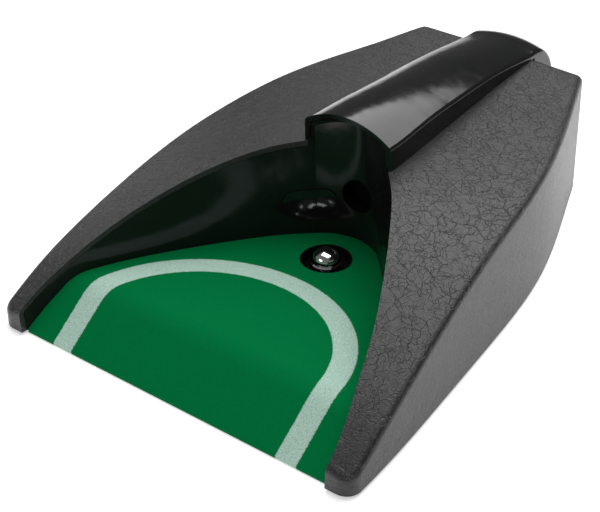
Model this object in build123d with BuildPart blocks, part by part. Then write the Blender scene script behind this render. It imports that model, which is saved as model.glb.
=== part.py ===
from build123d import *
import os

os.makedirs("parts", exist_ok=True)

# Automatic putting cup: a ball rolls up the turf ramp and presses the trigger dome, and a solenoid
# kicks it back out. Millimetres. X across, Y towards the back, Z up from the ground.
# Sketch planes measure from the turf's front edge.

# ---- driving dimensions --------------------------------------------------------------------------
FRONT = -128.0          # turf's front edge in the part's frame
REAR = 259.0            # back of the hood, from the turf's front edge
SHELL_REAR = 238.4      # back wall of the shell
TIP_Y = -3.0            # front ends of the two wings
WALL = 2.4              # shell wall
LINER_WALL = 2.0
GAP = 0.3               # between separate mouldings
BASE_Z = 1.0            # underside of the base plate, held up by the feet
BASE_T = 2.0
SHELL_Z = 1.2           # bottom rim of the shell
TURF_T = 1.5
LEAN = 3.0              # how far the mouth wall leans outwards over its whole height
MOUTH_H = 58.0
TRIGGER_Y = 102.4
HOLE_R = 11.4           # hole in the turf around the trigger
KICK_Z = 34.0           # kicker axis, the height of a ball's centre over the deck
KICK_HOLE_R = 7.8
ARCH_Y = 117.5          # front rim of the hood
ARCH_HALF = 20.2
ARCH_TOP = 74.3
HOOD_WALL = 1.2
VAULT_WALL = 0.9        # liner where it stands inside the hood
NOSE_Z = 44.0           # height at which the hood has turned down the back
COLUMN_FOOT = 4.0       # bottom of the hood's back column
BACK_Y = 124.7          # foot of the mouth's back wall
BASE_TOP = BASE_Z + BASE_T
RAMP_SLOPE = 0.723
CREASE_Y = 24.4
CREASE_Z = 19.2
DECK_BACK_Z = 11.7      # deck surface carried on to y = 135
SCREW_L = 11.0
WINDOW = (-19.4, 116.2, 29.6)
WINDOW_L = 23.4
WINDOW_H = 10.2
WIRE_R = 0.7
JACK_Z = 15.0
SLEEVE_END = 134.0      # back end of the kicker's guide sleeve
BASE_POSTS = [(sx * x, y) for sx in (-1, 1) for x, y in ((83.6, 24), (72.5, 62), (63, 128), (38.2, 221))]
HOOD_POSTS = [(0, 148), (0, 214)]
SWITCH = (30.5, 24.0)   # power switch on the shell's back wall, X and Z
ROCKER_PIVOT = (237.4, 24.0)
SOL_FRONT = 146.0       # solenoid frame
SOL_BACK = 184.0
CLIP_Y = 207.0
SOLENOID_FLOOR = 22.6
SOLENOID_SCREWS = [(0, 152.5), (0, 165), (0, 176)]
TRAY_FRONT = 158.0      # battery tray
TRAY_BACK = 218.0
TRAY_HALF = 32.5
TRAY_ROOF = 20.0
CELL_PITCH = 14.9
CELL_Y = 162.8
CELL_Z = 11.0
BOARD_Z = 8.0
BOARD_POSTS = [(39, 141.5), (54.5, 182.4)]
HOOD_BOSS = 55.2        # screw seats under the shell's roof
RISE = (Align.CENTER, Align.CENTER, Align.MIN)

# half-width, ridge height and crown rise of the shell along its length
STATIONS = [
    (-8, 87.8, 6.0, 13.0),
    (20, 87.4, 21.6, 13.0),
    (48, 86.1, 33.0, 13.0),
    (76, 84.0, 42.1, 12.4),
    (104, 80.5, 49.0, 9.8),
    (132, 75.6, 53.2, 5.6),
    (160, 69.0, 55.8, 2.4),
    (188, 60.3, 57.1, 1.6),
    (216, 50.6, 58.2, 1.2),
    (244, 42.0, 58.9, 1.0),
]
FLANK = [
    (41.0, 246.0), (52.5, 216.0), (63.0, 189.0), (72.2, 159.5),
    (79.6, 117.5), (84.9, 74.0), (89.7, 31.3), (92.0, -10.0),
]
MOUTH = [(16.5, 117.8), (27.8, 105.5), (38.3, 90.7), (53.6, 65.6), (65.0, 43.3), (73.3, 22.0), (79.9, 0.0)]
# half-width, shoulder height and crown height of the hood along its length
HOOD = [
    (117.5, 22.5, 69.0, 76.5),
    (138, 21.6, 68.8, 75.6),
    (160, 20.0, 68.2, 74.0),
    (181, 19.0, 67.2, 72.2),
    (202, 18.2, 66.0, 70.0),
    (222, 17.8, 63.8, 67.2),
    (238, 17.8, 62.3, 65.0),
]


def across(y):
    """Section plane facing the front, y behind the turf's front edge; sketch axes are X and Z."""
    return Plane(origin=(0, FRONT + y, 0), x_dir=(1, 0, 0), z_dir=(0, -1, 0))


def level(z):
    """Horizontal plane; sketch Y counts from the turf's front edge."""
    return Plane(origin=(0, FRONT, z), x_dir=(1, 0, 0), z_dir=(0, 0, 1))


def side(x=0):
    """Lengthwise plane at x; sketch axes are distance from the front edge and Z, normal +X."""
    return Plane(origin=(x, FRONT, 0), x_dir=(0, 1, 0), z_dir=(1, 0, 0))


def at(x, y, z):
    """A point measured from the turf's front edge."""
    return (x, FRONT + y, z)


def flipped(points):
    return [(-x, y) for x, y in reversed(points)]


def save(built, name):
    built.part.label = name
    export_step(built.part, f"parts/{name}.step")


# ---- shared solids -------------------------------------------------------------------------------
def crown_block(drop):
    """Everything below the shell's crowned top surface, lowered by drop."""
    with BuildPart(mode=Mode.PRIVATE) as block:
        for y, half, ridge, rise in STATIONS:
            reach = half + 9
            peak = ridge + rise - drop
            sag = rise * (reach / half) ** 2
            with BuildSketch(across(y)):
                with BuildLine():
                    Bezier((reach, peak - sag), (0, peak + sag), (-reach, peak - sag))
                    Polyline((-reach, peak - sag), (-reach, -25), (reach, -25), (reach, peak - sag))
                make_face()
        loft()
    return block.part


def pushed(points, amount):
    """Points of an open outline moved sideways, away from the mouth's middle."""
    moved = []
    for i, (x, y) in enumerate(points):
        ahead = points[min(i + 1, len(points) - 1)]
        behind = points[max(i - 1, 0)]
        run = (Vector(*ahead) - Vector(*behind)).normalized()
        moved.append((x - amount * run.Y, y + amount * run.X))
    return moved


def plan_block(inset, low, high):
    """The shell's outline seen from above, inset, as an upright block."""
    flank = pushed(FLANK, -inset)
    with BuildPart(mode=Mode.PRIVATE) as block:
        with BuildSketch(level(low)):
            with BuildLine():
                Spline(*flank)
                Spline(*flipped(flank))
                Line(flank[0], (-flank[0][0], flank[0][1]))
                Line(flank[-1], (-flank[-1][0], flank[-1][1]))
            make_face()
            with Locations((0, (SHELL_REAR + TIP_Y) / 2)):
                Rectangle(200, SHELL_REAR - TIP_Y - 2 * inset, mode=Mode.INTERSECT)
        extrude(amount=high - low)
        upright = block.edges().filter_by(Axis.Z).group_by(Axis.Y)
        fillet(upright[0], 6.5 - inset)
        upright = block.edges().filter_by(Axis.Z).group_by(Axis.Y)
        fillet(upright[-1], 4 - inset)
    return block.part


def mouth_block(grow, low, high):
    """The funnel-shaped mouth as a solid, its wall leaning outwards, grown by grow."""
    with BuildPart(mode=Mode.PRIVATE) as block:
        for z in (low, high):
            out = grow + LEAN * (z - 10) / (MOUTH_H - 10)
            flank = pushed(MOUTH, out)
            front = (flank[-1][0] + 2, -20)
            with BuildSketch(level(z)):
                with BuildLine():
                    ThreePointArc((-flank[0][0], flank[0][1]), (0, BACK_Y + 0.6 * out), flank[0])
                    Spline(*flank, tangents=((1, -1.02), (0.16, -1)))
                    Spline(*flipped(flank), tangents=((0.16, 1), (1, 1.02)))
                    Polyline(flank[-1], front, (-front[0], front[1]), (-flank[-1][0], flank[-1][1]))
                make_face()
        loft()
    return block.part


def arch_face(plane, half, spring, top, foot):
    """Arch outline on a plane: straight jambs up to the springing, then a semi-ellipse."""
    with BuildSketch(plane, mode=Mode.PRIVATE) as arch:
        with BuildLine():
            Polyline((-half, spring), (-half, foot), (half, foot), (half, spring))
            EllipticalCenterArc((0, spring), half, top - spring, arc_size=180)
        make_face()
    return arch.sketch


def dome_block(grow):
    """Quarter dome over the mouth's back wall, closing forward into the hood's arch."""
    centre = FRONT + 101.6
    wide = 27.2 + grow
    with BuildPart(mode=Mode.PRIVATE) as dome:
        with BuildSketch(Plane(origin=(0, centre, 0), x_dir=(0, 1, 0), z_dir=(1, 0, 0))):
            with BuildLine():
                Polyline((0, 76.6 + grow), (0, 50), (wide, 50), (wide, 60))
                Bezier(
                    (wide, 60),
                    (wide, 69 + grow),
                    (wide - 4, 73.8 + grow),
                    (15.9, 75.2 + grow),
                    (0, 76.6 + grow),
                )
            make_face()
        revolve(axis=Axis((0, centre, 0), (0, 0, 1)))
        arch = arch_face(across(ARCH_Y - 0.2), ARCH_HALF + grow, 66, ARCH_TOP + grow, 40)
        extrude(arch, amount=-20, mode=Mode.INTERSECT)
    return dome.part


def hood_block(inset):
    """Hood as a solid: arched sections along the top, turned a quarter round at the back and run down."""
    with BuildPart(mode=Mode.PRIVATE) as block:
        sections = []
        for y, half, shoulder, crown in HOOD:
            width = half - inset
            corner = shoulder - 0.6 * inset
            foot = NOSE_Z - 4
            with BuildSketch(across(y)) as section:
                with BuildLine():
                    ThreePointArc((-width, corner), (0, crown - inset), (width, corner))
                    Polyline((width, corner), (width, foot), (-width, foot), (-width, corner))
                make_face()
                fillet(section.vertices().group_by(Axis.Z)[-1], 2.4 - 0.5 * inset)
            sections.append(section.sketch)
        loft(sections)
        back = split(sections[-1], bisect_by=Plane.XY.offset(NOSE_Z), keep=Keep.TOP)
        revolve(back, axis=Axis(at(0, HOOD[-1][0], NOSE_Z), (1, 0, 0)), revolution_arc=-90)
        turned = block.faces().filter_by(Axis.Z).sort_by(Axis.Y)[-1]
        extrude(turned, amount=NOSE_Z - COLUMN_FOOT - inset)
    return block.part


def envelope(shrink, low=SHELL_Z):
    """The shell's outer form as a filled solid."""
    return plan_block(shrink, low, 80) & crown_block(shrink)


def under_deck(drop, start, bottom):
    """Space below the ramp and deck surface lowered by drop, as wide as the part; flat at the bottom."""
    front = (-12, 1.6 - drop - 12 * RAMP_SLOPE)
    rear = (135, DECK_BACK_Z - drop)
    with BuildPart(mode=Mode.PRIVATE) as block:
        with BuildSketch(side()):
            with BuildLine():
                FilletPolyline(front, (CREASE_Y, CREASE_Z - drop), rear, radius=17)
                Polyline(rear, (135, bottom - 30), (-12, bottom - 30), front)
            make_face()
        extrude(amount=95, both=True)
        with BuildSketch(level(bottom)):
            with Locations((0, 80 + start)):
                Rectangle(190, 160)
        extrude(amount=60, mode=Mode.INTERSECT)
    return block.part


def pill_prism(length, height, near, far):
    """Pill-shaped prism square to the mouth's left wall; near and far count outwards from the wall."""
    wall = Plane(origin=at(*WINDOW), x_dir=(0.756, 0.654, 0), z_dir=(-0.654, 0.756, 0))
    with BuildPart(mode=Mode.PRIVATE) as prism:
        with BuildSketch(wall.offset(near)):
            SlotOverall(length, height)
        extrude(amount=far - near)
    return prism.part


def coil(radius, wire, turns, start, direction, height):
    """Round wire spring from a start point along a direction."""
    with BuildPart(mode=Mode.PRIVATE) as spring:
        with BuildLine() as centre:
            Helix(pitch=height / turns, height=height, radius=radius, center=start, direction=direction)
        with BuildSketch(Plane(origin=centre.line @ 0, z_dir=centre.line % 0)):
            Circle(wire / 2)
        sweep()
    return spring.part


def leads(*route, spread=(1.8, 0, 1.8)):
    """Two insulated leads side by side along straight runs with rounded bends."""
    with BuildPart(mode=Mode.PRIVATE) as pair:
        for i in (0, 1):
            with BuildLine() as centre:
                FilletPolyline(*[Vector(*at(*p)) + i * Vector(*spread) for p in route], radius=2)
            with BuildSketch(Plane(origin=centre.line @ 0, z_dir=centre.line % 0)):
                Circle(WIRE_R)
            sweep()
    return pair


# ---- housing -------------------------------------------------------------------------------------
below_arch = Pos(0, 0, 20) * Box(300, 400, 80)
mouth_cavity = mouth_block(0, -5, 90) & (below_arch + dome_block(0))

with BuildPart() as hood_cover:
    add(hood_block(0))
    hood_solid = hood_cover.part
    add(hood_block(HOOD_WALL), mode=Mode.SUBTRACT)
    with BuildSketch(level(50)):
        with Locations(*HOOD_POSTS):
            Circle(3.4)
    hood_posts = extrude(amount=30, mode=Mode.PRIVATE)
    add(hood_posts & hood_solid)
    add(envelope(-0.05, -5), mode=Mode.SUBTRACT)
    with BuildSketch(level(50)):
        with Locations(*HOOD_POSTS):
            Circle(1.2)
    extrude(amount=16, mode=Mode.SUBTRACT)
    with BuildSketch(across(REAR + 5)):
        with Locations((0, JACK_Z)):
            Circle(4.2)
    extrude(amount=-12, mode=Mode.SUBTRACT)
save(hood_cover, "hood_cover")

with BuildPart() as mouth_liner:
    neck = dome_block(VAULT_WALL) & hood_block(HOOD_WALL + 0.1)
    add(mouth_block(LINER_WALL, SHELL_Z, 90) & (envelope(WALL + 0.15) + neck))
    add(mouth_cavity, mode=Mode.SUBTRACT)
    with BuildSketch(across(BACK_Y - 3)):
        with Locations((0, KICK_Z)):
            Circle(KICK_HOLE_R + 1.8)
    sleeve = extrude(amount=-(SLEEVE_END - BACK_Y + 3), mode=Mode.PRIVATE)
    add(sleeve - mouth_cavity)
    with BuildSketch(across(BACK_Y - 10)):
        with Locations((0, KICK_Z)):
            Circle(KICK_HOLE_R)
    extrude(amount=-30, mode=Mode.SUBTRACT)
    add(pill_prism(WINDOW_L + 0.3, WINDOW_H + 0.3, -6, 8), mode=Mode.SUBTRACT)
    with BuildSketch(level(-5)):
        with Locations((0, 88)):
            Rectangle(190, 160)
    extrude(amount=5 + BASE_TOP + 0.2, mode=Mode.SUBTRACT)
    with BuildSketch(level(0)):
        with Locations((7, 128)):
            Rectangle(6, 12)
    extrude(amount=7, mode=Mode.SUBTRACT)
save(mouth_liner, "mouth_liner")

with BuildPart() as outer_shell:
    add(envelope(0))
    roof = outer_shell.faces().filter_by(GeomType.PLANE, reverse=True).sort_by(SortBy.AREA)[-1]
    fillet(roof.outer_wire().edges(), 3.2)
    filled = outer_shell.part
    add(envelope(WALL, -1), mode=Mode.SUBTRACT)
    with BuildSketch(level(BASE_TOP + 0.2)):
        with Locations(*BASE_POSTS):
            Circle(3.5)
    posts = extrude(amount=70, mode=Mode.PRIVATE)
    add(posts & filled)
    with BuildSketch(level(HOOD_BOSS)):
        with Locations(*HOOD_POSTS):
            Circle(4)
    seats = extrude(amount=20, mode=Mode.PRIVATE)
    add(seats & filled)
    with BuildSketch(level(BASE_TOP)):
        with Locations(*BASE_POSTS):
            Circle(1.4)
    extrude(amount=SCREW_L, mode=Mode.SUBTRACT)
    add(mouth_cavity, mode=Mode.SUBTRACT)
    add(mouth_block(LINER_WALL + GAP, -2, 78) & hood_block(HOOD_WALL), mode=Mode.SUBTRACT)
    with BuildSketch(level(40)):
        with Locations(*HOOD_POSTS):
            Circle(1.6)
    extrude(amount=40, mode=Mode.SUBTRACT)
    with BuildSketch(across(SHELL_REAR - 4)):
        with Locations(SWITCH):
            Rectangle(13.4, 19.4)
        with Locations((0, JACK_Z)):
            Rectangle(10, 7)
    extrude(amount=-8, mode=Mode.SUBTRACT)
save(outer_shell, "outer_shell")

with BuildPart() as turf_mat:
    add(under_deck(0, 0, 0.2) - under_deck(TURF_T, -20, -20))
    add(mouth_block(-0.2, -5, 40), mode=Mode.INTERSECT)
    with Locations(at(0, TRIGGER_Y, 0)):
        Cylinder(HOLE_R, 60, mode=Mode.SUBTRACT)
save(turf_mat, "turf_mat")

with BuildPart() as ramp_plate:
    add(under_deck(TURF_T + 0.05, 5, BASE_TOP + 0.05) - under_deck(TURF_T + 2.0, -20, -20))
    with BuildSketch(level(BASE_TOP + 0.05)):
        with Locations(*[(x, 46) for x in (-36, -12, 12, 36)]):
            Rectangle(2, 70)
    ribs = extrude(amount=30, mode=Mode.PRIVATE)
    add(ribs & under_deck(TURF_T + 0.05, 8, BASE_TOP + 0.05))
    add(mouth_block(-0.3, -5, 40), mode=Mode.INTERSECT)
    with Locations(at(0, TRIGGER_Y, 0)):
        Cylinder(HOLE_R + 0.3, 60, mode=Mode.SUBTRACT)
save(ramp_plate, "ramp_plate")

with BuildPart() as base_plate:
    add(plan_block(WALL + GAP, BASE_Z, BASE_TOP))
    with Locations(at(0, -2, BASE_Z)):
        Box(200, 20, 10, mode=Mode.SUBTRACT)
    with BuildSketch(level(BASE_TOP)):
        with Locations((0, 152.5)):
            Rectangle(14, 5)
    extrude(amount=SOLENOID_FLOOR - BASE_TOP)
    with Locations(at(0, (TRAY_FRONT + TRAY_BACK) / 2, BASE_Z)):
        Box(2 * TRAY_HALF - 3, TRAY_BACK - TRAY_FRONT - 3, 10, mode=Mode.SUBTRACT)
    with BuildSketch(level(BASE_Z)):
        with Locations(*BASE_POSTS):
            Circle(1.7)
    extrude(amount=BASE_T, mode=Mode.SUBTRACT)
    with BuildSketch(level(BASE_Z)):
        with Locations(*BASE_POSTS):
            Circle(3.2)
    extrude(amount=1.2, mode=Mode.SUBTRACT)
    with BuildSketch(level(SOLENOID_FLOOR - 4)):
        with Locations(SOLENOID_SCREWS[0]):
            Circle(1.0)
    extrude(amount=4, mode=Mode.SUBTRACT)
    with BuildSketch(level(BASE_TOP)):
        with Locations(*BOARD_POSTS):
            Circle(2.6)
    extrude(amount=BOARD_Z - BASE_TOP)
    with BuildSketch(level(BOARD_Z - 4)):
        with Locations(*BOARD_POSTS):
            Circle(0.9)
    extrude(amount=4, mode=Mode.SUBTRACT)
save(base_plate, "base_plate")

with BuildPart() as rubber_feet:
    with BuildSketch(level(0)):
        with Locations(*[(sx * x, y) for sx in (-1, 1) for x, y in ((70, 34), (60, 112), (26, 228))]):
            Circle(5.5)
    extrude(amount=BASE_Z)
    fillet(rubber_feet.faces().sort_by(Axis.Z)[:6].edges(), 0.4)
save(rubber_feet, "rubber_feet")


def screws(places, z, head_r, head_t, shank_r, length, way=1):
    """Pan-head screws: heads start at height z and shanks follow, upwards (way 1) or downwards (way -1)."""
    with BuildPart(mode=Mode.PRIVATE) as group:
        with BuildSketch(level(z)):
            with Locations(*places):
                Circle(head_r)
        extrude(amount=way * head_t)
        with BuildSketch(level(z + way * head_t)):
            with Locations(*places):
                Circle(shank_r)
        extrude(amount=way * length)
        with BuildSketch(level(z)):
            with Locations(*places):
                Rectangle(head_r * 1.2, 0.5)
                Rectangle(0.5, head_r * 1.2)
        extrude(amount=way * head_t / 2, mode=Mode.SUBTRACT)
    return group


save(screws(BASE_POSTS, BASE_Z + 0.1, 2.9, 1.1, 1.35, SCREW_L), "base_screws")
save(screws(HOOD_POSTS, HOOD_BOSS - 1.4, 2.6, 1.4, 1.15, 10), "hood_screws")

# ---- trigger -------------------------------------------------------------------------------------
with BuildPart() as trigger_cup:
    with BuildSketch(side()):
        with BuildLine():
            Polyline(
                (TRIGGER_Y + 2.06, 8.6),
                (TRIGGER_Y + 11.3, 8.6),
                (TRIGGER_Y + 11.3, 7.9),
                (TRIGGER_Y + 14, 7.9),
                (TRIGGER_Y + 14, 9.1),
                (TRIGGER_Y + 11.3, 9.1),
                (TRIGGER_Y + 11.3, 14.1),
                (TRIGGER_Y + 10.4, 14.1),
                (TRIGGER_Y + 10.4, 9.8),
                (TRIGGER_Y + 4, 9.8),
                (TRIGGER_Y + 4, 10.6),
                (TRIGGER_Y + 2.06, 10.6),
                close=True,
            )
        make_face()
    revolve(axis=Axis(at(0, TRIGGER_Y, 0), (0, 0, 1)))
    with BuildSketch(level(BASE_TOP + 0.05)):
        with Locations((0, TRIGGER_Y)):
            with PolarLocations(12.6, 3, start_angle=90):
                Circle(1.3)
    extrude(amount=7.9 - BASE_TOP - 0.05)
save(trigger_cup, "trigger_cup")

with BuildPart() as trigger_dome:
    with BuildSketch(side()):
        with BuildLine():
            Polyline(
                (TRIGGER_Y, 18.9),
                (TRIGGER_Y, 8.25),
                (TRIGGER_Y + 2, 8.25),
                (TRIGGER_Y + 2, 12),
                (TRIGGER_Y + 6.4, 12),
                (TRIGGER_Y + 6.8, 12.4),
                (TRIGGER_Y + 6.8, 12.9),
                (TRIGGER_Y + 6.2, 13.5),
                (TRIGGER_Y + 6, 14.2),
            )
            Bezier(
                (TRIGGER_Y + 6, 14.2),
                (TRIGGER_Y + 5.8, 17.1),
                (TRIGGER_Y + 3.3, 18.9),
                (TRIGGER_Y, 18.9),
            )
        make_face()
    revolve(axis=Axis(at(0, TRIGGER_Y, 0), (0, 0, 1)))
save(trigger_dome, "trigger_dome")

with BuildPart() as trigger_spring:
    add(coil(4.7, 0.5, 2.5, at(0, TRIGGER_Y, 10.07), (0, 0, 1), 1.66))
save(trigger_spring, "trigger_spring")

with BuildPart() as trigger_board:
    with Locations(at(0, TRIGGER_Y, BASE_TOP + 0.05)):
        Box(17, 17, 0.95, align=RISE)
save(trigger_board, "trigger_board")

with BuildPart() as trigger_switch:
    with Locations(at(0, TRIGGER_Y, 4.0)):
        Box(6.2, 6.2, 2.8, align=RISE)
        Cylinder(1.75, 3, align=RISE, mode=Mode.ADD)
    with Locations(at(0, TRIGGER_Y, 4.4)):
        Cylinder(1.75, 6, align=RISE, mode=Mode.SUBTRACT)
save(trigger_switch, "trigger_switch")

with BuildPart() as switch_plunger:
    with Locations(at(0, TRIGGER_Y, 5.8)):
        Cylinder(1.68, 2.4, align=RISE)
save(switch_plunger, "switch_plunger")

# ---- solenoid kicker -----------------------------------------------------------------------------
with BuildPart() as solenoid_frame:
    with BuildSketch(side()):
        with BuildLine():
            Polyline(
                (SOL_FRONT, 45),
                (SOL_FRONT, SOLENOID_FLOOR),
                (SOL_BACK, SOLENOID_FLOOR),
                (SOL_BACK, 45),
                (SOL_BACK - 1.5, 45),
                (SOL_BACK - 1.5, SOLENOID_FLOOR + 1.5),
                (SOL_FRONT + 1.5, SOLENOID_FLOOR + 1.5),
                (SOL_FRONT + 1.5, 45),
                close=True,
            )
        make_face()
    extrude(amount=11, both=True)
    with BuildSketch(across(SOL_FRONT - 5)):
        with Locations((0, KICK_Z)):
            Circle(4.35)
    extrude(amount=-60, mode=Mode.SUBTRACT)
    with BuildSketch(level(SOLENOID_FLOOR)):
        with Locations(*SOLENOID_SCREWS):
            Circle(1.25)
    extrude(amount=1.5, mode=Mode.SUBTRACT)
save(solenoid_frame, "solenoid_frame")


def ring(inner, outer, front, back, z=KICK_Z):
    """Tube along the kicker axis between two distances from the front edge."""
    with BuildPart(mode=Mode.PRIVATE) as tube:
        with BuildSketch(across(front)):
            with Locations((0, z)):
                Circle(outer)
                if inner:
                    Circle(inner, mode=Mode.SUBTRACT)
        extrude(amount=-(back - front))
    return tube.part


with BuildPart() as solenoid_bobbin:
    add(ring(4.1, 5.4, SOL_FRONT + 1.6, SOL_BACK - 1.6))
    add(ring(5.0, 9.4, SOL_FRONT + 1.6, SOL_FRONT + 3.2))
    add(ring(5.0, 9.4, SOL_BACK - 3.2, SOL_BACK - 1.6))
save(solenoid_bobbin, "solenoid_bobbin")

with BuildPart() as solenoid_winding:
    add(ring(5.45, 8.6, SOL_FRONT + 3.3, SOL_BACK - 3.3))
save(solenoid_winding, "solenoid_winding")

with BuildPart() as kicker_plunger:
    add(ring(0, 2.0, 138.5, 160))
    add(ring(0, 4.0, 159, 211))
    chamfer(kicker_plunger.edges().filter_by(GeomType.CIRCLE).sort_by(Axis.Y)[-1], 0.6)
save(kicker_plunger, "kicker_plunger")

with BuildPart() as kicker_tip:
    add(ring(0, 6.6, 131, 138.5))
    fillet(kicker_tip.edges().filter_by(GeomType.CIRCLE).sort_by(Axis.Y)[0], 1.6)
save(kicker_tip, "kicker_tip")

with BuildPart() as plunger_clip:
    add(ring(4.0, 6.4, CLIP_Y, CLIP_Y + 1))
save(plunger_clip, "plunger_clip")

with BuildPart() as return_spring:
    add(coil(5.2, 0.6, 5, at(0, SOL_BACK + 0.35, KICK_Z), (0, 1, 0), CLIP_Y - SOL_BACK - 0.7))
save(return_spring, "return_spring")

save(screws(SOLENOID_SCREWS, SOLENOID_FLOOR + 2.6, 2.2, 1.1, 1.0, 3.6, way=-1), "solenoid_screws")

# ---- battery compartment -------------------------------------------------------------------------
TRAY_LEN = TRAY_BACK - TRAY_FRONT
with BuildPart() as battery_tray:
    with Locations(at(0, TRAY_FRONT + TRAY_LEN / 2, BASE_TOP)):
        Box(2 * TRAY_HALF, TRAY_LEN, TRAY_ROOF - BASE_TOP, align=RISE)
        Box(2 * TRAY_HALF - 3.2, TRAY_LEN - 3.2, TRAY_ROOF - BASE_TOP - 1.6, align=RISE, mode=Mode.SUBTRACT)
    with BuildSketch(level(TRAY_ROOF)):
        with Locations(*SOLENOID_SCREWS[1:]):
            Circle(3)
    extrude(amount=SOLENOID_FLOOR - TRAY_ROOF)
    with BuildSketch(level(TRAY_ROOF - 0.5)):
        with Locations(*SOLENOID_SCREWS[1:]):
            Circle(1.0)
    extrude(amount=4, mode=Mode.SUBTRACT)
save(battery_tray, "battery_tray")


def in_tray(index):
    """Centre of a cell across the tray, and whether its positive end faces the front."""
    return (index - 1.5) * CELL_PITCH, index % 2 == 0


with BuildPart() as batteries:
    for i in range(4):
        x, forward = in_tray(i)
        ends = (CELL_Y + 1, CELL_Y + 50.5) if forward else (CELL_Y, CELL_Y + 49.5)
        nub = (CELL_Y, CELL_Y + 1) if forward else (CELL_Y + 49.5, CELL_Y + 50.5)
        add(Pos(x, 0, CELL_Z - KICK_Z) * ring(0, 7.1, *ends))
        add(Pos(x, 0, CELL_Z - KICK_Z) * ring(0, 2.7, *nub))
save(batteries, "batteries")

with BuildPart() as battery_springs:
    for i in range(4):
        x, forward = in_tray(i)
        foot = TRAY_BACK - 2.35 if forward else TRAY_FRONT + 2.35
        toward = -1 if forward else 1
        add(coil(3.6, 0.6, 2.5, at(x, foot, CELL_Z), (0, toward, 0), 2.0))
save(battery_springs, "battery_springs")

with BuildPart() as battery_contacts:
    for i in range(4):
        x, forward = in_tray(i)
        for at_front in (True, False):
            flat = at_front == forward
            depth = 0.4
            y = TRAY_FRONT + 1.6 if at_front else TRAY_BACK - 1.6 - depth
            with Locations(at(x, y + depth / 2, CELL_Z)):
                Box(10, depth, 10)
            if flat:
                inner = (y + depth, CELL_Y) if at_front else (CELL_Y + 50.5, y)
                with Locations(at(x, (inner[0] + inner[1]) / 2, CELL_Z)):
                    Box(5, inner[1] - inner[0], 5)
save(battery_contacts, "battery_contacts")

with BuildPart() as battery_door:
    with Locations(at(0, (TRAY_FRONT + TRAY_BACK) / 2, BASE_Z + 0.1)):
        Box(2 * TRAY_HALF - 3.8, TRAY_LEN - 3.8, 1.7, align=RISE)
    fillet(battery_door.edges().filter_by(Axis.Z), 1.2)
    with Locations(at(0, TRAY_BACK - 8, BASE_Z + 0.1)):
        Box(16, 5, 0.9, align=RISE, mode=Mode.SUBTRACT)
save(battery_door, "battery_door")

# ---- electronics ---------------------------------------------------------------------------------
with BuildPart() as circuit_board:
    with BuildSketch(level(BOARD_Z)):
        with Locations((46.5, 162)):
            Rectangle(21, 46)
        with Locations(*BOARD_POSTS):
            Circle(1.1, mode=Mode.SUBTRACT)
    extrude(amount=1.6)
save(circuit_board, "circuit_board")

board_top = level(BOARD_Z + 1.6)
with BuildPart() as capacitors:
    with BuildSketch(board_top):
        with Locations((47.5, 149.5), (47.5, 163)):
            Circle(6.0)
    extrude(amount=24)
    fillet(capacitors.faces().sort_by(Axis.Z)[-2:].edges(), 0.8)
save(capacitors, "capacitors")

with BuildPart() as relay:
    with BuildSketch(board_top):
        with Locations((49.5, 174.4)):
            Rectangle(9, 9)
    extrude(amount=10)
    chamfer(relay.edges().sort_by(Axis.Z)[-4:], 0.5)
save(relay, "relay")

with BuildPart() as board_chips:
    with BuildSketch(board_top):
        with Locations((39.2, 148.2), (39.2, 170)):
            Rectangle(4, 6)
        with Locations((39.2, 155), (39.2, 161)):
            Rectangle(3, 2)
    extrude(amount=1.4)
save(board_chips, "board_chips")

save(screws(BOARD_POSTS, BOARD_Z + 2.7, 1.8, 1.1, 0.85, 5, way=-1), "board_screws")

with BuildPart() as indicator_window:
    wall = mouth_block(LINER_WALL, 10, 50) - mouth_block(-0.7, 5, 55)
    add(pill_prism(WINDOW_L, WINDOW_H, -6, 8) & wall)
save(indicator_window, "indicator_window")

with BuildPart() as indicator_housing:
    add(pill_prism(WINDOW_L + 4, WINDOW_H + 4, -2, 11))
    add(pill_prism(WINDOW_L + 1, WINDOW_H + 1, -3, 9.5), mode=Mode.SUBTRACT)
    add(mouth_block(LINER_WALL + 0.05, 5, 55), mode=Mode.SUBTRACT)
    add(pill_prism(5.1, 5.05, 5, 20), mode=Mode.SUBTRACT)
save(indicator_housing, "indicator_housing")

with BuildPart() as indicator_led:
    add(pill_prism(5.02, 5.0, 5, 11.4))
    add(pill_prism(5.82, 5.8, 11.4, 12.4))
save(indicator_led, "indicator_led")

with BuildPart() as power_switch:
    with BuildSketch(across(SHELL_REAR)):
        with Locations(SWITCH):
            Rectangle(15, 21)
    extrude(amount=-1.2)
    with BuildSketch(across(SHELL_REAR)):
        with Locations(SWITCH):
            Rectangle(13, 19)
    extrude(amount=11.5)
    with BuildSketch(across(SHELL_REAR + 2)):
        with Locations(SWITCH):
            Rectangle(10.6, 15.6)
    extrude(amount=9.5, mode=Mode.SUBTRACT)
    with BuildSketch(side(SWITCH[0])):
        with Locations(ROCKER_PIVOT):
            Circle(0.88)
    extrude(amount=5.9, both=True, mode=Mode.SUBTRACT)
save(power_switch, "power_switch")

with BuildPart() as power_rocker:
    y, z = ROCKER_PIVOT
    with BuildSketch(side(SWITCH[0])):
        with BuildLine():
            Polyline(
                (y - 1.3, z + 2),
                (y - 1.3, z - 2),
                (y + 0.6, z - 6.9),
                (y + 2.2, z - 6.9),
                (y + 2.0, z),
                (y + 3.9, z + 6.5),
                (y + 2.4, z + 6.9),
                close=True,
            )
        make_face()
    extrude(amount=5, both=True)
    with BuildSketch(side(SWITCH[0])):
        with Locations(ROCKER_PIVOT):
            Circle(0.8)
    extrude(amount=5.8, both=True)
save(power_rocker, "power_rocker")

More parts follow.
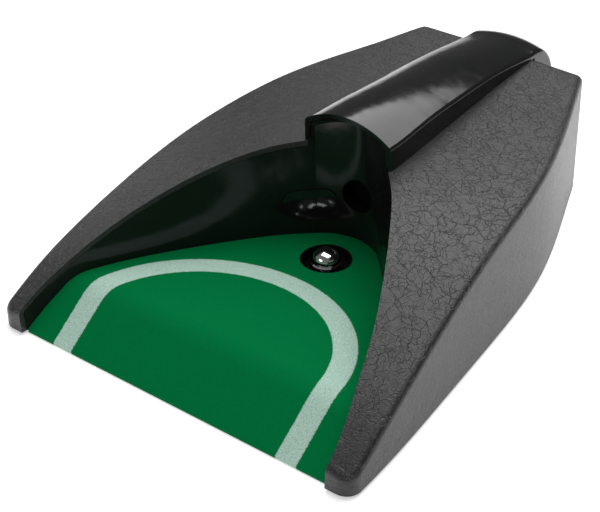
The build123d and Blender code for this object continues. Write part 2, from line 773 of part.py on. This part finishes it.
with BuildPart() as dc_jack:
    with Locations(at(0, REAR - 9.4, JACK_Z)):
        Box(9, 14, 11)
    with BuildSketch(across(REAR - 4)):
        with Locations((0, JACK_Z)):
            Circle(4.0)
    extrude(amount=3.8)
    with BuildSketch(across(REAR + 1)):
        with Locations((0, JACK_Z)):
            Circle(2.8)
            Circle(1.0, mode=Mode.SUBTRACT)
    extrude(amount=-10, mode=Mode.SUBTRACT)
save(dc_jack, "dc_jack")

# ---- leads ---------------------------------------------------------------------------------------
board_edge = BOARD_Z + 0.8
save(leads((32.55, 205, board_edge), (41, 205, board_edge), (41, 185.05, board_edge)), "battery_leads")
solenoid_route = [(9.1, 152, 36), (30, 152, 36), (30, 141, 36), (44.5, 141, 36)]
save(leads(*solenoid_route, (44.5, 141, BOARD_Z + 1.65)), "solenoid_leads")
trigger_route = [
    (6, 111, 3.76), (6, 134, 3.76), (40, 134, 3.76), (40, 134, board_edge), (40, 138.95, board_edge),
]
save(leads(*trigger_route, spread=(1.8, 1.8, 1.8)), "trigger_leads")
led_end = (-28.9, 127.2, 29.6)
led_route = [
    led_end, (-36, 135.4, 29.6), (-36, 144, 29.6), (-36, 144, board_edge), (35.95, 144, board_edge),
]
save(leads(*led_route), "indicator_leads")
switch_route = [(30.5, 226.85, 24), (30.5, 200, 24), (46, 200, 24), (46, 200, board_edge)]
save(leads(*switch_route, (46, 185.05, board_edge)), "switch_leads")
jack_route = [
    (-3, 242.5, 14), (-3, 226, 14), (-3, 226, 24), (-3, 194, 24), (50, 194, 24), (50, 194, board_edge),
]
save(leads(*jack_route, (50, 185.05, board_edge)), "jack_leads")
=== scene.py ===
import math

import bpy
from mathutils import Matrix, Vector


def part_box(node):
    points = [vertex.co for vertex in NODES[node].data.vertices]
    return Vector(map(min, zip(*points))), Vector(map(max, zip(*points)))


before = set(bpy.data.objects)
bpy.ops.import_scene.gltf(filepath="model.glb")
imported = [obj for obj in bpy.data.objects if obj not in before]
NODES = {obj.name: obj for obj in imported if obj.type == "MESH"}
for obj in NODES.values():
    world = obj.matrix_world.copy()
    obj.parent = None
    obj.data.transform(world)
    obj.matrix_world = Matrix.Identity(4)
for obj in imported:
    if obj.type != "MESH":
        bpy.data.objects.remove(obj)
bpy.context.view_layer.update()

# ---- places taken from the frame -----------------------------------------------------------------
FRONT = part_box("turf_mat")[0][1]              # the turf's front edge
LINE_INNER = 0.054               # white line: a horseshoe the width of a regulation hole
LINE_WIDTH = 0.010
LINE_CENTRE = FRONT + 0.018      # where its straight legs turn into the half circle
LINE_EDGE = 0.0002               # how softly its edge fades

GREEN_DARK = (0.0, 0.122, 0.032)
GREEN_LIGHT = (0.0, 0.178, 0.051)
FLOOR_GLOW = 0.50                # keeps the pale floor from greying in the shade


# ---- material helpers ----------------------------------------------------------------------------
class Nodes:
    """A material's node tree with short ways to add what the surfaces here need."""

    def __init__(self, name):
        self.material = bpy.data.materials.new(name)
        self.material.use_nodes = True
        self.tree = self.material.node_tree
        self.shader = self.tree.nodes["Principled BSDF"]
        self.place = self.add("ShaderNodeTexCoord").outputs["Object"]

    def add(self, kind, **settings):
        node = self.tree.nodes.new(kind)
        for key, value in settings.items():
            setattr(node, key, value)
        return node

    def link(self, source, socket):
        self.tree.links.new(source, socket)

    def noise(self, scale, detail=3.0, rough=0.55):
        node = self.add("ShaderNodeTexNoise")
        self.link(self.place, node.inputs["Vector"])
        node.inputs["Scale"].default_value = scale
        node.inputs["Detail"].default_value = detail
        node.inputs["Roughness"].default_value = rough
        return node.outputs["Fac"]

    def cells(self, scale, warp):
        node = self.add("ShaderNodeTexVoronoi", feature="DISTANCE_TO_EDGE")
        node.inputs["Scale"].default_value = scale
        shift = self.add("ShaderNodeTexNoise")
        self.link(self.place, shift.inputs["Vector"])
        shift.inputs["Scale"].default_value = scale * 0.8
        shift.inputs["Detail"].default_value = 2.0
        mix = self.add("ShaderNodeMixRGB", blend_type="LINEAR_LIGHT")
        mix.inputs["Fac"].default_value = warp
        self.link(self.place, mix.inputs["Color1"])
        self.link(shift.outputs["Color"], mix.inputs["Color2"])
        self.link(mix.outputs["Color"], node.inputs["Vector"])
        return node.outputs["Distance"]

    def math(self, operation, a, b=None, clamp=False):
        node = self.add("ShaderNodeMath", operation=operation, use_clamp=clamp)
        for value, socket in zip((a, b), node.inputs):
            if value is None:
                continue
            if isinstance(value, (int, float)):
                socket.default_value = value
            else:
                self.link(value, socket)
        return node.outputs[0]

    def span(self, value, low, high, to_low=0.0, to_high=1.0):
        node = self.add("ShaderNodeMapRange")
        self.link(value, node.inputs["Value"])
        node.inputs["From Min"].default_value = low
        node.inputs["From Max"].default_value = high
        node.inputs["To Min"].default_value = to_low
        node.inputs["To Max"].default_value = to_high
        return node.outputs["Result"]

    def ramp(self, factor, *stops):
        node = self.add("ShaderNodeValToRGB")
        self.link(factor, node.inputs["Fac"])
        marks = node.color_ramp.elements
        while len(marks) < len(stops):
            marks.new(0.5)
        for mark, (where, colour) in zip(marks, stops):
            mark.position = where
            mark.color = (*colour, 1.0)
        return node.outputs["Color"]

    def mix(self, factor, a, b):
        node = self.add("ShaderNodeMixRGB")
        for value, name in ((factor, "Fac"), (a, "Color1"), (b, "Color2")):
            if isinstance(value, tuple):
                node.inputs[name].default_value = (*value, 1.0)
            elif isinstance(value, float):
                node.inputs[name].default_value = value
            else:
                self.link(value, node.inputs[name])
        return node.outputs["Color"]

    def colour(self, source):
        self.link(source, self.shader.inputs["Base Color"])

    def roughness(self, source):
        self.link(source, self.shader.inputs["Roughness"])

    def bump(self, height, depth):
        """Adds relief, depth in metres, on top of any relief added before."""
        node = self.add("ShaderNodeBump")
        node.inputs["Strength"].default_value = 1.0
        node.inputs["Distance"].default_value = depth
        self.link(height, node.inputs["Height"])
        if self.shader.inputs["Normal"].links:
            self.link(self.shader.inputs["Normal"].links[0].from_socket, node.inputs["Normal"])
        self.link(node.outputs["Normal"], self.shader.inputs["Normal"])

    def fixed(self, **values):
        for name, value in values.items():
            self.shader.inputs[name.replace("_", " ")].default_value = value


def varied(name, dark, light, rough, metallic=0.0, scale=300.0, relief=0.0, spread=0.08, **fixed):
    """A plain surface with slight unevenness in its colour, gloss and relief."""
    m = Nodes(name)
    cloud = m.noise(scale)
    m.colour(m.ramp(cloud, (0.3, dark), (0.7, light)))
    m.roughness(m.span(m.noise(scale * 2.3), 0.3, 0.7, max(rough - spread, 0.02), rough + spread))
    if relief:
        m.bump(m.noise(scale * 6), relief)
    m.fixed(Metallic=metallic, **fixed)
    return m.material


def grained_shell():
    """Matt black plastic moulded with a leather grain: fine creased cells, wrinkles and pores."""
    m = Nodes("shell_grain")
    creases = m.span(m.cells(150, 0.006), 0.0, 0.030)
    second = m.span(m.cells(290, 0.004), 0.0, 0.040)
    broken = m.span(m.noise(90, 2.0), 0.54, 0.68)
    third = m.span(m.noise(130, 2.0), 0.50, 0.66)
    fine = m.noise(1100, 4.0, 0.75)
    wrinkle = m.noise(640, 4.0, 0.6)
    large = m.math("MAXIMUM", creases, broken)
    small = m.math("MAXIMUM", second, third)
    relief = m.math("ADD", m.math("MULTIPLY", large, 0.45), m.math("MULTIPLY", small, 0.30))
    m.bump(m.math("ADD", relief, m.math("MULTIPLY", wrinkle, 0.40)), 0.00030)
    m.bump(fine, 0.00020)
    # Colour: the crease lines are painted lighter than the cells, a painted highlight along the grain's
    # creases.
    m.colour(m.mix(m.span(relief, 0.3, 0.75), (0.027, 0.028, 0.027), (0.0110, 0.0115, 0.0109)))
    m.roughness(m.span(fine, 0.3, 0.7, 0.26, 0.40))
    m.fixed(Specular_IOR_Level=0.47)
    return m.material


def gloss_black(name, dark, light, level):
    """Polished black moulding: a faint unevenness bends what it reflects."""
    m = Nodes(name)
    m.colour(m.ramp(m.noise(40), (0.3, dark), (0.7, light)))
    m.roughness(m.span(m.noise(180, 4.0), 0.35, 0.7, 0.09, 0.15))
    m.bump(m.noise(45, 2.0), 0.00020)
    m.fixed(Specular_IOR_Level=level)
    return m.material


def felt():
    """Short-pile green felt with the flocked white horseshoe line."""
    m = Nodes("felt")
    split = m.add("ShaderNodeSeparateXYZ")
    m.link(m.place, split.inputs[0])
    across, along = split.outputs[0], split.outputs[1]
    past = m.math("MAXIMUM", m.math("SUBTRACT", along, LINE_CENTRE), 0.0)
    square = m.math("ADD", m.math("MULTIPLY", across, across), m.math("MULTIPLY", past, past))
    reach = m.math("SQRT", square)
    ragged = m.math("MULTIPLY", m.math("SUBTRACT", m.noise(1600, 2.0), 0.5), 0.0011)
    reach = m.math("ADD", reach, ragged)
    inner = m.span(reach, LINE_INNER - LINE_EDGE, LINE_INNER + LINE_EDGE)
    line_outer = LINE_INNER + LINE_WIDTH
    outer = m.span(reach, line_outer - LINE_EDGE, line_outer + LINE_EDGE, 1.0, 0.0)
    line = m.math("MULTIPLY", inner, outer)
    pile = m.noise(2600, 4.0, 0.75)
    tuft = m.noise(700, 3.0, 0.6)
    green = m.ramp(pile, (0.30, GREEN_DARK), (0.72, GREEN_LIGHT))
    green = m.mix(m.span(tuft, 0.35, 0.7, 0.0, 0.22), green, GREEN_DARK)
    speck = m.span(m.noise(2600, 3.0, 0.8), 0.38, 0.62)
    flock = m.mix(speck, (0.22, 0.40, 0.31), (0.54, 0.70, 0.62))
    m.colour(m.mix(line, green, flock))
    m.roughness(m.span(pile, 0.3, 0.7, 0.82, 0.97))
    m.bump(m.math("ADD", m.math("MULTIPLY", pile, 0.7), m.math("MULTIPLY", line, 0.5)), 0.00022)
    m.fixed(Specular_IOR_Level=0.02)
    return m.material


plain_black = varied("plain_black", (0.012, 0.012, 0.013), (0.022, 0.022, 0.023), 0.5, relief=0.00004)
rubber = varied("rubber", (0.008, 0.008, 0.008), (0.014, 0.014, 0.014), 0.8, relief=0.00008, scale=700.0,
                Specular_IOR_Level=0.1)
# The kicker tip's rubber is painted near-black, far darker than the feet's rubber: painted shade for the
# kicker hole.
shaded_tip_rubber = varied("shaded_tip_rubber", (0.0015, 0.0015, 0.0015), (0.0035, 0.0035, 0.0035), 0.9, relief=0.00006,
                    Specular_IOR_Level=0.05)
zinc = varied("zinc_steel", (0.42, 0.43, 0.42), (0.60, 0.60, 0.57), 0.32, 1.0, 240.0, 0.00003)
spring_steel = varied("spring_steel", (0.36, 0.36, 0.36), (0.50, 0.50, 0.50), 0.28, 1.0, 400.0)
chrome = varied("chrome", (0.82, 0.83, 0.84), (0.90, 0.91, 0.92), 0.05, 1.0, 150.0, 0.0, 0.02)
board = varied("board", (0.004, 0.060, 0.020), (0.010, 0.110, 0.038), 0.35, 0.0, 180.0, 0.00004)
blue = varied("blue_plastic", (0.010, 0.060, 0.260), (0.020, 0.100, 0.360), 0.4)
nylon = varied("nylon", (0.62, 0.60, 0.53), (0.74, 0.72, 0.66), 0.5)
lens = varied("smoked_lens", (0.006, 0.007, 0.007), (0.012, 0.013, 0.013), 0.06, 0.0, 60.0, 0.0, 0.02)
led = varied("led", (0.40, 0.008, 0.008), (0.62, 0.02, 0.02), 0.12)
jacket = varied("cell_jacket", (0.020, 0.022, 0.026), (0.050, 0.052, 0.060), 0.3, 0.4)
sleeve = varied("cap_sleeve", (0.010, 0.014, 0.060), (0.020, 0.028, 0.100), 0.25)
wire_red = varied("wire_red", (0.30, 0.010, 0.008), (0.46, 0.020, 0.014), 0.45)
wire_black = varied("wire_black", (0.012, 0.012, 0.012), (0.026, 0.026, 0.026), 0.45)


def copper_winding():
    """Enamelled wire wound in even turns along the kicker's axis, with painted shade and highlight across
    each turn.
    """
    m = Nodes("copper_winding")
    turns = m.add("ShaderNodeTexWave", bands_direction="Y")
    m.link(m.place, turns.inputs["Vector"])
    turns.inputs["Scale"].default_value = 780.0
    turns.inputs["Distortion"].default_value = 0.4
    # Colour bands: painted shade in the grooves between turns and a painted highlight on each turn's
    # crown.
    m.colour(m.ramp(turns.outputs["Fac"], (0.1, (0.16, 0.035, 0.010)), (0.9, (0.52, 0.17, 0.055))))
    m.roughness(m.span(m.noise(500), 0.3, 0.7, 0.22, 0.38))
    m.bump(turns.outputs["Fac"], 0.00010)
    m.fixed(Metallic=0.8)
    return m.material


hood_gloss = gloss_black("hood_gloss", (0.0038, 0.0042, 0.0040), (0.0058, 0.0063, 0.0060), 0.46)
liner_gloss = gloss_black("liner_gloss", (0.0075, 0.0072, 0.0074), (0.0100, 0.0096, 0.0098), 0.34)
FINISHES = {
    "outer_shell": grained_shell(),
    "mouth_liner": liner_gloss,
    "hood_cover": hood_gloss,
    "turf_mat": felt(),
    "rubber_feet": rubber,
    "kicker_tip": shaded_tip_rubber,
    "trigger_cup": hood_gloss,
    "trigger_dome": chrome,
    "indicator_window": lens,
    "indicator_led": led,
    "solenoid_winding": copper_winding(),
    "solenoid_bobbin": nylon,
    "batteries": jacket,
    "capacitors": sleeve,
    "relay": blue,
    "switch_plunger": blue,
    "circuit_board": board,
    "trigger_board": board,
}
SCREWED = ("base_screws", "hood_screws", "solenoid_screws", "board_screws")
SPRUNG = ("trigger_spring", "return_spring", "battery_springs", "battery_contacts", "plunger_clip")
for names, finish in (
    (SCREWED + ("solenoid_frame", "kicker_plunger"), zinc),
    (SPRUNG, spring_steel),
    (("battery_leads", "solenoid_leads", "switch_leads"), wire_red),
    (("trigger_leads", "indicator_leads", "jack_leads"), wire_black),
):
    FINISHES.update(dict.fromkeys(names, finish))

for name, node in NODES.items():
    node.data.materials.clear()
    node.data.materials.append(FINISHES.get(name, plain_black))


# ---- stage ---------------------------------------------------------------------------------------
def floor():
    bpy.ops.mesh.primitive_plane_add(size=8, location=(0, 1.2, -0.0002))
    plane = bpy.context.object
    plane.name = "floor"
    m = Nodes("paper_floor")
    m.colour(m.ramp(m.noise(3), (0.3, (0.88, 0.88, 0.88)), (0.7, (0.93, 0.93, 0.93))))
    m.roughness(m.span(m.noise(9), 0.3, 0.7, 0.85, 0.95))
    m.fixed(Emission_Color=(1, 1, 1, 1), Emission_Strength=FLOOR_GLOW, Specular_IOR_Level=0.1)
    plane.data.materials.append(m.material)


def softbox(name, place, target, width, height, power):
    lamp = bpy.data.lights.new(name, "AREA")
    lamp.shape = "RECTANGLE"
    lamp.size = width
    lamp.size_y = height
    lamp.energy = power
    holder = bpy.data.objects.new(name, lamp)
    bpy.context.collection.objects.link(holder)
    aim = (Vector(target) - Vector(place)).to_track_quat("-Z", "Y")
    holder.matrix_world = Matrix.Translation(place) @ aim.to_matrix().to_4x4()


floor()
softbox("back_softbox", (-0.08, 0.52, 0.66), (-0.08, -0.2, 0.33), 0.86, 0.44, 3.9)
softbox("top_softbox", (0.0, 0.15, 1.05), (0, 0, 0), 1.05, 0.85, 9.6)
softbox("left_fill", (-1.05, 0.30, 0.52), (0, 0, 0.03), 0.5, 0.5, 1.5)
softbox("front_fill", (-0.25, -1.2, 0.60), (0, -0.05, 0), 0.6, 0.4, 2.2)

world = bpy.data.worlds.new("studio")
bpy.context.scene.world = world
world.use_nodes = True
world.node_tree.nodes["Background"].inputs["Color"].default_value = (1, 1, 1, 1)
world.node_tree.nodes["Background"].inputs["Strength"].default_value = 0.13
bpy.context.scene.view_settings.view_transform = "Standard"

# ---- camera --------------------------------------------------------------------------------------
EYE_PLACE = (0.3656, FRONT - 0.3727, 0.4212)
AZIMUTH = math.radians(38.646)
ELEVATION = math.radians(34.076)
ROLL = math.radians(-0.948)
ahead = -Vector((
    math.sin(AZIMUTH) * math.cos(ELEVATION),
    -math.cos(AZIMUTH) * math.cos(ELEVATION),
    math.sin(ELEVATION),
))
level_right = Vector((math.cos(AZIMUTH), math.sin(AZIMUTH), 0))
level_up = level_right.cross(ahead)
right = math.cos(ROLL) * level_right + math.sin(ROLL) * level_up
up = -math.sin(ROLL) * level_right + math.cos(ROLL) * level_up
eye = bpy.data.cameras.new("camera")
eye.lens = 101.0
eye.sensor_width = 36.0
camera = bpy.data.objects.new("camera", eye)
bpy.context.collection.objects.link(camera)
turn = Matrix((right, up, -ahead)).transposed()
camera.matrix_world = Matrix.Translation(EYE_PLACE) @ turn.to_4x4()
bpy.context.scene.camera = camera
